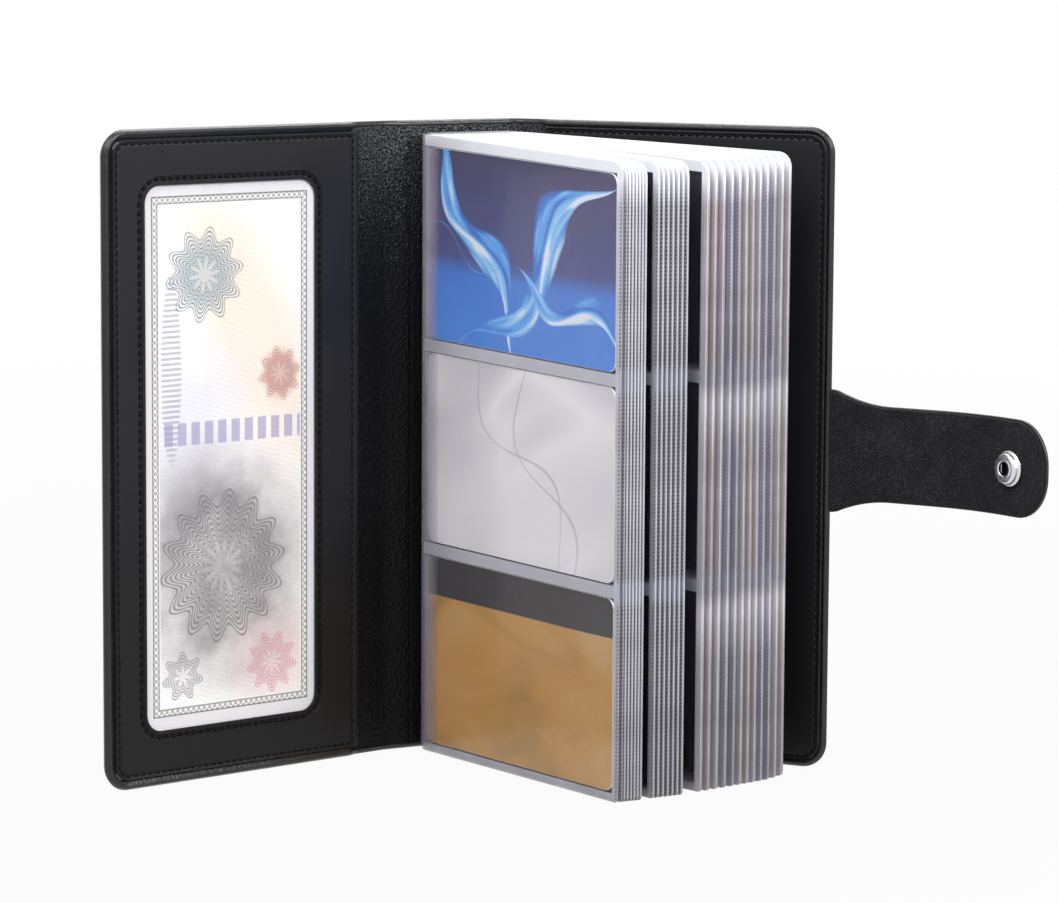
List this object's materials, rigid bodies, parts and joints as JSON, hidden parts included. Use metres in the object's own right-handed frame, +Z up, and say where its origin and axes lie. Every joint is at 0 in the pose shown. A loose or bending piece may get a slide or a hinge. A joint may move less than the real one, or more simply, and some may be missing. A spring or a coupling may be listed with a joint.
{
  "type": "credit card book",
  "caption": "Leather-covered book of clear card leaves, standing open, with a paper slip in a window pocket in its front cover and a snap strap on its rear cover.",
  "frame": {"origin": "middle of the spine leather's foot, midway between the two folds, on the surface that the book stands on", "axes": "+X right, along the open book from the front cover's fore edge to the strap's tip; +Y back, away from someone who looks at the open leaves; +Z up, along the folds"},
  "size_m": [0.2591, 0.0984, 0.1829],
  "materials": {
    "black_leather": "fine-grained black leather",
    "smooth_lining": "smooth black leather lining",
    "grained_lining": "grained black lining",
    "suede": "soft black suede",
    "grey_board": "plain grey board",
    "printed_paper": "fine printed paper",
    "clear_film": "clear film, frosted at the welds",
    "black_strip": "matte",
    "blue_card": "glossy print",
    "silver_card": "glossy print",
    "gold_card": "glossy print",
    "dark_nickel": "dark nickel plate",
    "spring_steel": "bright wire"
  },
  "bodies": {
    "spine": {"spine_leather": "black_leather", "spine_board": "grey_board", "spine_lining": "grained_lining", "leaf_binding_strip": "black_strip"},
    "front_cover": {"front_cover_leather": "black_leather", "front_cover_board": "grey_board", "front_pocket_back": "smooth_lining", "window_film": "clear_film", "window_frame_lining": "smooth_lining", "front_fold_lining": "grained_lining", "snap_stud": "dark_nickel", "snap_post": "dark_nickel"},
    "paper_slip": {"paper_slip": "printed_paper"},
    "rear_cover": {"rear_cover_leather": "black_leather", "rear_cover_board": "grey_board", "rear_cover_lining": "smooth_lining", "rear_fold_lining": "grained_lining"},
    "strap": {"strap_leather": "black_leather", "strap_lining": "suede"},
    "strap_end": {"strap_end_leather": "black_leather", "strap_end_lining": "suede", "snap_cap": "dark_nickel", "snap_socket": "dark_nickel", "snap_spring": "spring_steel"},
    "card_upper": {"card_upper": "blue_card"},
    "card_middle": {"card_middle": "silver_card"},
    "card_lower": {"card_lower": "gold_card"},
    "leaf_01": {"leaf_01": "clear_film"},
    "leaf_02": {"leaf_02": "clear_film"},
    "leaf_03": {"leaf_03": "clear_film"},
    "leaf_04": {"leaf_04": "clear_film"},
    "leaf_05": {"leaf_05": "clear_film"},
    "leaf_06": {"leaf_06": "clear_film"},
    "leaf_07": {"leaf_07": "clear_film"},
    "leaf_08": {"leaf_08": "clear_film"},
    "leaf_09": {"leaf_09": "clear_film"},
    "leaf_10": {"leaf_10": "clear_film"},
    "leaf_11": {"leaf_11": "clear_film"},
    "leaf_12": {"leaf_12": "clear_film"},
    "leaf_13": {"leaf_13": "clear_film"},
    "leaf_14": {"leaf_14": "clear_film"},
    "leaf_15": {"leaf_15": "clear_film"},
    "leaf_16": {"leaf_16": "clear_film"},
    "leaf_17": {"leaf_17": "clear_film"},
    "leaf_18": {"leaf_18": "clear_film"},
    "leaf_19": {"leaf_19": "clear_film"},
    "leaf_20": {"leaf_20": "clear_film"},
    "leaf_21": {"leaf_21": "clear_film"},
    "leaf_22": {"leaf_22": "clear_film"},
    "leaf_23": {"leaf_23": "clear_film"},
    "leaf_24": {"leaf_24": "clear_film"},
    "leaf_25": {"leaf_25": "clear_film"},
    "leaf_26": {"leaf_26": "clear_film"}
  },
  "joints": [
    {"name": "front_fold", "type": "hinge", "parent": "spine", "child": "front_cover", "pos_m": [-0.01733, -0.00845, 0.09147], "axis": [0, 0, -1], "range_deg": [-77.9, 100]},
    {"name": "rear_fold", "type": "hinge", "parent": "spine", "child": "rear_cover", "pos_m": [0.01733, 0.00845, 0.09147], "axis": [0, 0, 1], "range_deg": [-36.5, 53.5]},
    {"name": "strap_root", "type": "hinge", "parent": "rear_cover", "child": "strap", "pos_m": [0.10834, -0.04033, 0.09147], "axis": [0, 0, 1], "range_deg": [-84.5, 95.5]},
    {"name": "strap_fold", "type": "hinge", "parent": "strap", "child": "strap_end", "pos_m": [0.14407, -0.06354, 0.09147], "axis": [0, 0, 1], "range_deg": [-66, 114]},
    {"name": "slip_slide", "type": "slide", "parent": "front_cover", "child": "paper_slip", "axis": [0.7869, 0.617, 0], "range_m": [0, 0.012]},
    {"name": "leaf_01_hinge", "type": "hinge", "parent": "spine", "child": "leaf_01", "pos_m": [-0.00993, -0.00957, 0.09147], "axis": [0, 0, 1], "range_deg": [-9.51, 13.94]},
    {"name": "leaf_02_hinge", "type": "hinge", "parent": "spine", "child": "leaf_02", "pos_m": [-0.0089, -0.00907, 0.09147], "axis": [0, 0, 1], "range_deg": [-9.58, 14.04]},
    {"name": "leaf_03_hinge", "type": "hinge", "parent": "spine", "child": "leaf_03", "pos_m": [-0.00786, -0.00856, 0.09147], "axis": [0, 0, 1], "range_deg": [-9.65, 14.14]},
    {"name": "leaf_04_hinge", "type": "hinge", "parent": "spine", "child": "leaf_04", "pos_m": [-0.00683, -0.00806, 0.09147], "axis": [0, 0, 1], "range_deg": [-9.72, 14.24]},
    {"name": "leaf_05_hinge", "type": "hinge", "parent": "spine", "child": "leaf_05", "pos_m": [-0.00579, -0.00756, 0.09147], "axis": [0, 0, 1], "range_deg": [-9.79, 14.35]},
    {"name": "leaf_06_hinge", "type": "hinge", "parent": "spine", "child": "leaf_06", "pos_m": [-0.00476, -0.00705, 0.09147], "axis": [0, 0, 1], "range_deg": [-9.86, 14.45]},
    {"name": "leaf_07_hinge", "type": "hinge", "parent": "spine", "child": "leaf_07", "pos_m": [-0.00373, -0.00655, 0.09147], "axis": [0, 0, 1], "range_deg": [-9.93, 14.55]},
    {"name": "leaf_08_hinge", "type": "hinge", "parent": "spine", "child": "leaf_08", "pos_m": [-0.00269, -0.00604, 0.09147], "axis": [0, 0, 1], "range_deg": [-11.99, 17.57]},
    {"name": "leaf_09_hinge", "type": "hinge", "parent": "spine", "child": "leaf_09", "pos_m": [-0.00166, -0.00554, 0.09147], "axis": [0, 0, 1], "range_deg": [-12.3, 18.02]},
    {"name": "leaf_10_hinge", "type": "hinge", "parent": "spine", "child": "leaf_10", "pos_m": [-0.00063, -0.00503, 0.09147], "axis": [0, 0, 1], "range_deg": [-12.61, 18.48]},
    {"name": "leaf_11_hinge", "type": "hinge", "parent": "spine", "child": "leaf_11", "pos_m": [0.00041, -0.00453, 0.09147], "axis": [0, 0, 1], "range_deg": [-12.92, 18.93]},
    {"name": "leaf_12_hinge", "type": "hinge", "parent": "spine", "child": "leaf_12", "pos_m": [0.00144, -0.00403, 0.09147], "axis": [0, 0, 1], "range_deg": [-13.23, 19.39]},
    {"name": "leaf_13_hinge", "type": "hinge", "parent": "spine", "child": "leaf_13", "pos_m": [0.00247, -0.00352, 0.09147], "axis": [0, 0, 1], "range_deg": [-13.54, 19.84]},
    {"name": "leaf_14_hinge", "type": "hinge", "parent": "spine", "child": "leaf_14", "pos_m": [0.00351, -0.00302, 0.09147], "axis": [0, 0, 1], "range_deg": [-13.85, 20.3]},
    {"name": "leaf_15_hinge", "type": "hinge", "parent": "spine", "child": "leaf_15", "pos_m": [0.00454, -0.00251, 0.09147], "axis": [0, 0, 1], "range_deg": [-17.15, 25.13]},
    {"name": "leaf_16_hinge", "type": "hinge", "parent": "spine", "child": "leaf_16", "pos_m": [0.00558, -0.00201, 0.09147], "axis": [0, 0, 1], "range_deg": [-18.12, 26.55]},
    {"name": "leaf_17_hinge", "type": "hinge", "parent": "spine", "child": "leaf_17", "pos_m": [0.00661, -0.00151, 0.09147], "axis": [0, 0, 1], "range_deg": [-19.09, 27.98]},
    {"name": "leaf_18_hinge", "type": "hinge", "parent": "spine", "child": "leaf_18", "pos_m": [0.00764, -0.001, 0.09147], "axis": [0, 0, 1], "range_deg": [-20.06, 29.4]},
    {"name": "leaf_19_hinge", "type": "hinge", "parent": "spine", "child": "leaf_19", "pos_m": [0.00868, -0.0005, 0.09147], "axis": [0, 0, 1], "range_deg": [-21.03, 30.82]},
    {"name": "leaf_20_hinge", "type": "hinge", "parent": "spine", "child": "leaf_20", "pos_m": [0.00971, 0.00001, 0.09147], "axis": [0, 0, 1], "range_deg": [-22, 32.24]},
    {"name": "leaf_21_hinge", "type": "hinge", "parent": "spine", "child": "leaf_21", "pos_m": [0.01074, 0.00051, 0.09147], "axis": [0, 0, 1], "range_deg": [-22.97, 33.66]},
    {"name": "leaf_22_hinge", "type": "hinge", "parent": "spine", "child": "leaf_22", "pos_m": [0.01178, 0.00102, 0.09147], "axis": [0, 0, 1], "range_deg": [-23.94, 35.09]},
    {"name": "leaf_23_hinge", "type": "hinge", "parent": "spine", "child": "leaf_23", "pos_m": [0.01281, 0.00152, 0.09147], "axis": [0, 0, 1], "range_deg": [-24.91, 36.51]},
    {"name": "leaf_24_hinge", "type": "hinge", "parent": "spine", "child": "leaf_24", "pos_m": [0.01384, 0.00202, 0.09147], "axis": [0, 0, 1], "range_deg": [-25.88, 37.93]},
    {"name": "leaf_25_hinge", "type": "hinge", "parent": "spine", "child": "leaf_25", "pos_m": [0.01488, 0.00253, 0.09147], "axis": [0, 0, 1], "range_deg": [-26.85, 39.35]},
    {"name": "leaf_26_hinge", "type": "hinge", "parent": "spine", "child": "leaf_26", "pos_m": [0.01591, 0.00303, 0.09147], "axis": [0, 0, 1], "range_deg": [-27.82, 40.77]},
    {"name": "card_upper_slide", "type": "slide", "parent": "leaf_01", "child": "card_upper", "axis": [-0.5807, 0.8141, 0], "range_m": [0, 0.006]},
    {"name": "card_middle_slide", "type": "slide", "parent": "leaf_01", "child": "card_middle", "axis": [-0.5807, 0.8141, 0], "range_m": [0, 0.006]},
    {"name": "card_lower_slide", "type": "slide", "parent": "leaf_01", "child": "card_lower", "axis": [-0.5807, 0.8141, 0], "range_m": [0, 0.006]}
  ],
  "couplings": [
    {"joint": "leaf_01_hinge", "follows": "rear_fold", "ratio": 0.26027},
    {"joint": "leaf_02_hinge", "follows": "rear_fold", "ratio": 0.26219},
    {"joint": "leaf_03_hinge", "follows": "rear_fold", "ratio": 0.26411},
    {"joint": "leaf_04_hinge", "follows": "rear_fold", "ratio": 0.26603},
    {"joint": "leaf_05_hinge", "follows": "rear_fold", "ratio": 0.26794},
    {"joint": "leaf_06_hinge", "follows": "rear_fold", "ratio": 0.26986},
    {"joint": "leaf_07_hinge", "follows": "rear_fold", "ratio": 0.27178},
    {"joint": "leaf_08_hinge", "follows": "rear_fold", "ratio": 0.32822},
    {"joint": "leaf_09_hinge", "follows": "rear_fold", "ratio": 0.33671},
    {"joint": "leaf_10_hinge", "follows": "rear_fold", "ratio": 0.3452},
    {"joint": "leaf_11_hinge", "follows": "rear_fold", "ratio": 0.3537},
    {"joint": "leaf_12_hinge", "follows": "rear_fold", "ratio": 0.36219},
    {"joint": "leaf_13_hinge", "follows": "rear_fold", "ratio": 0.37068},
    {"joint": "leaf_14_hinge", "follows": "rear_fold", "ratio": 0.37918},
    {"joint": "leaf_15_hinge", "follows": "rear_fold", "ratio": 0.46959},
    {"joint": "leaf_16_hinge", "follows": "rear_fold", "ratio": 0.49616},
    {"joint": "leaf_17_hinge", "follows": "rear_fold", "ratio": 0.52274},
    {"joint": "leaf_18_hinge", "follows": "rear_fold", "ratio": 0.54931},
    {"joint": "leaf_19_hinge", "follows": "rear_fold", "ratio": 0.57589},
    {"joint": "leaf_20_hinge", "follows": "rear_fold", "ratio": 0.60247},
    {"joint": "leaf_21_hinge", "follows": "rear_fold", "ratio": 0.62904},
    {"joint": "leaf_22_hinge", "follows": "rear_fold", "ratio": 0.65562},
    {"joint": "leaf_23_hinge", "follows": "rear_fold", "ratio": 0.68219},
    {"joint": "leaf_24_hinge", "follows": "rear_fold", "ratio": 0.70877},
    {"joint": "leaf_25_hinge", "follows": "rear_fold", "ratio": 0.73534},
    {"joint": "leaf_26_hinge", "follows": "rear_fold", "ratio": 0.76192}
  ]
}
